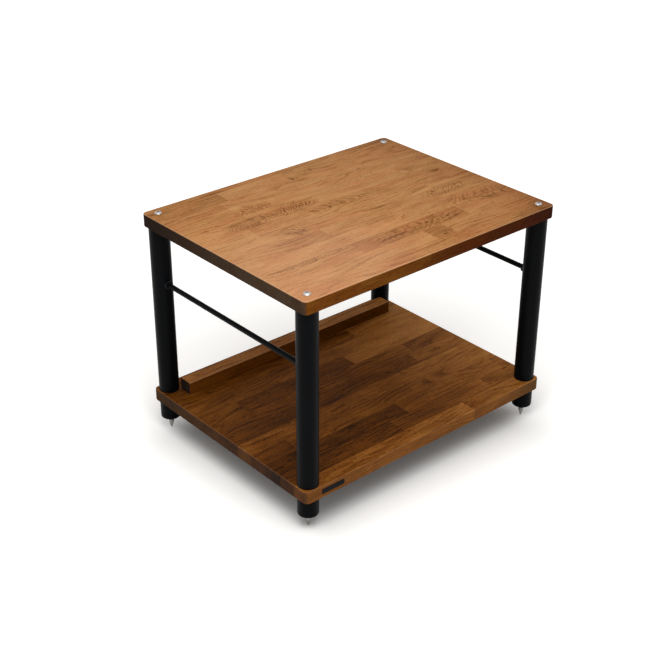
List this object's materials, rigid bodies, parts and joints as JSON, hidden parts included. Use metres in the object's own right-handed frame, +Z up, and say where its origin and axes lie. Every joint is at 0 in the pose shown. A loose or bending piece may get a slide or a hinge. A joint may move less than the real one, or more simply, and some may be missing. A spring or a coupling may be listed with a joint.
{
  "type": "record storage shelf",
  "caption": "Two-tier wooden rack on round metal legs, with side rods, a rear stop and levelling spikes, that stores vinyl records upright on its lower shelf.",
  "frame": {"origin": "on the floor, under the centre of the shelves", "axes": "+Z up, +X along the long side to the right as seen from the front, +Y to the back (the rear stop's side)"},
  "size_m": [0.62, 0.478, 0.4775],
  "materials": {
    "stained_hardwood": "satin oiled, stained reddish brown",
    "black_powder_coat": "satin black",
    "bright_steel": "polished",
    "zinc_plated_steel": "zinc plated",
    "black_nylon": "matte black"
  },
  "bodies": {
    "rack": {"top_shelf": "stained_hardwood", "bottom_shelf": "stained_hardwood", "rear_stop": "stained_hardwood", "leg_front_left": "black_powder_coat", "leg_top_plug_front_left": "zinc_plated_steel", "leg_bottom_plug_front_left": "zinc_plated_steel", "rod_bush_front_left": "black_nylon", "foot_front_left": "black_powder_coat", "leg_front_right": "black_powder_coat", "leg_top_plug_front_right": "zinc_plated_steel", "leg_bottom_plug_front_right": "zinc_plated_steel", "rod_bush_front_right": "black_nylon", "foot_front_right": "black_powder_coat", "leg_rear_left": "black_powder_coat", "leg_top_plug_rear_left": "zinc_plated_steel", "leg_bottom_plug_rear_left": "zinc_plated_steel", "rod_bush_rear_left": "black_nylon", "foot_rear_left": "black_powder_coat", "leg_rear_right": "black_powder_coat", "leg_top_plug_rear_right": "zinc_plated_steel", "leg_bottom_plug_rear_right": "zinc_plated_steel", "rod_bush_rear_right": "black_nylon", "foot_rear_right": "black_powder_coat", "side_rod_left": "black_powder_coat", "side_rod_right": "black_powder_coat", "top_bolts": "bright_steel", "joining_studs": "zinc_plated_steel", "spike_lock_nuts": "bright_steel", "stop_screws": "zinc_plated_steel"},
    "spike_front_left": {"spike_front_left": "bright_steel"},
    "spike_front_right": {"spike_front_right": "bright_steel"},
    "spike_rear_left": {"spike_rear_left": "bright_steel"},
    "spike_rear_right": {"spike_rear_right": "bright_steel"}
  },
  "joints": [
    {"name": "level_front_left", "type": "slide", "parent": "rack", "child": "spike_front_left", "axis": [0, 0, 1], "range_m": [-0.008, 0.004]},
    {"name": "level_front_right", "type": "slide", "parent": "rack", "child": "spike_front_right", "axis": [0, 0, 1], "range_m": [-0.008, 0.004]},
    {"name": "level_rear_left", "type": "slide", "parent": "rack", "child": "spike_rear_left", "axis": [0, 0, 1], "range_m": [-0.008, 0.004]},
    {"name": "level_rear_right", "type": "slide", "parent": "rack", "child": "spike_rear_right", "axis": [0, 0, 1], "range_m": [-0.008, 0.004]}
  ]
}
